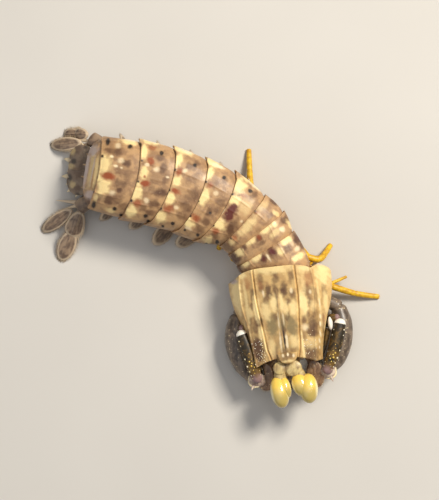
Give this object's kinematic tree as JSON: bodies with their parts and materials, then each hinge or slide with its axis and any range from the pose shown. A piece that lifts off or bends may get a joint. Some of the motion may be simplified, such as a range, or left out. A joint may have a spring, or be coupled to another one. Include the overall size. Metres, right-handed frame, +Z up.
{
  "type": "mantis shrimp model",
  "caption": "Life-size mantis shrimp at rest, body curved to one side, claws folded beside a flat shield, stalked two-lobed eyes, tail fan bent down.",
  "frame": {"origin": "on the floor, under the middle of the bounding box", "axes": "+Z up, -Y the way the head faces, +X towards the animal's left; the body curves from the head back towards -X"},
  "size_m": [0.1016, 0.0842, 0.0214],
  "materials": {
    "head_plate": "satin, warm tan",
    "back_plate": "satin, mottled tan and brown",
    "underside": "smooth, pale",
    "eye": "glossy yellow",
    "claw": "glossy dark olive",
    "clear_limb": "translucent in life, modelled solid",
    "walking_leg": "golden yellow",
    "fin": "thin, grey-brown"
  },
  "bodies": {
    "root": {"carapace": "head_plate", "rostral_plate": "head_plate", "eye_somite": "head_plate", "thorax_core": "underside", "thorax_6": "back_plate", "thorax_7": "back_plate", "thorax_8": "back_plate", "abdomen_1": "back_plate", "abdomen_2": "back_plate", "abdomen_3": "back_plate", "abdomen_4": "back_plate", "abdomen_5": "back_plate", "abdomen_6": "back_plate", "telson": "back_plate", "cornea_left": "eye", "eyestalk_left": "head_plate", "antennule_left": "clear_limb", "antenna_left": "clear_limb", "merus_left": "clear_limb", "ischium_left": "clear_limb", "carpus_left": "clear_limb", "propodus_left": "claw", "dactylus_left": "claw", "maxilliped_3_left": "underside", "maxilliped_4_left": "underside", "maxilliped_5_left": "underside", "leg_left_1": "walking_leg", "leg_left_2": "walking_leg", "leg_left_3": "walking_leg", "pleopod_1_left": "fin", "pleopod_2_left": "fin", "pleopod_3_left": "fin", "pleopod_4_left": "fin", "pleopod_5_left": "fin", "uropod_base_left": "fin", "uropod_outer_left": "fin", "uropod_inner_left": "fin", "cornea_right": "eye", "eyestalk_right": "head_plate", "antennule_right": "clear_limb", "antenna_right": "clear_limb", "merus_right": "clear_limb", "ischium_right": "clear_limb", "carpus_right": "clear_limb", "propodus_right": "claw", "dactylus_right": "claw", "maxilliped_3_right": "underside", "maxilliped_4_right": "underside", "maxilliped_5_right": "underside", "leg_right_1": "walking_leg", "leg_right_2": "walking_leg", "leg_right_3": "walking_leg", "pleopod_1_right": "fin", "pleopod_2_right": "fin", "pleopod_3_right": "fin", "pleopod_4_right": "fin", "pleopod_5_right": "fin", "uropod_base_right": "fin", "uropod_outer_right": "fin", "uropod_inner_right": "fin"}
  },
  "joints": []
}
